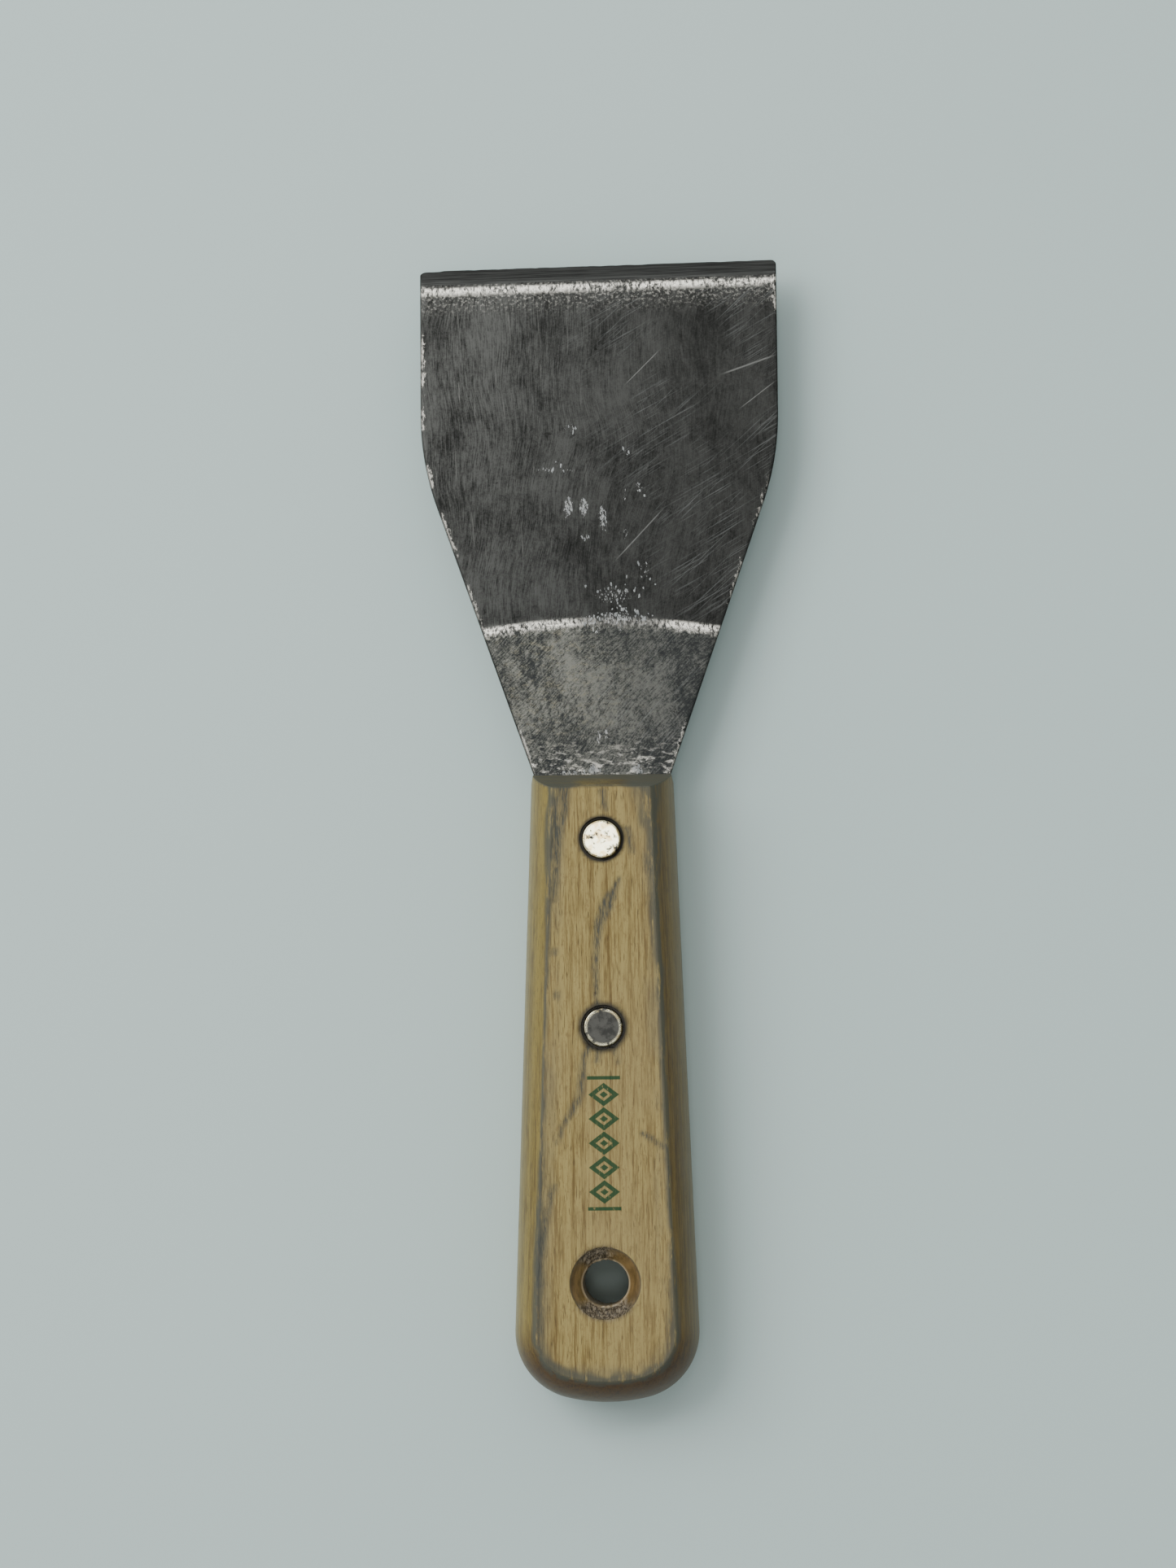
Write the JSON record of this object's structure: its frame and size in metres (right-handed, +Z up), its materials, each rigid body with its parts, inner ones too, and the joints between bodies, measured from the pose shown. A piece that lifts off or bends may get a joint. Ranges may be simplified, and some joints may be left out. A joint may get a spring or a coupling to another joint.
{
  "type": "putty knife",
  "caption": "Putty knife: a flared, taper-ground steel blade with a bevelled edge, its tang riveted in a slotted wooden handle with a hanging hole.",
  "frame": {"origin": "centre of the footprint, on the surface that the knife lies on", "axes": "+Y from the handle's end to the working edge, +Z up out of the face that carries the sharpening bevel, +X to the right as seen from above"},
  "size_m": [0.0762, 0.241, 0.022],
  "materials": {
    "steel": "ground and tarnished, with scratches and specks of dried filler",
    "wood": "lacquered hardwood, worn and grubby along its edges",
    "rivet": "plated steel, tarnished"
  },
  "bodies": {
    "root": {"blade": "steel", "handle": "wood", "rivet_post_front": "rivet", "rivet_cap_front": "rivet", "rivet_post_rear": "rivet", "rivet_cap_rear": "rivet"}
  },
  "joints": []
}
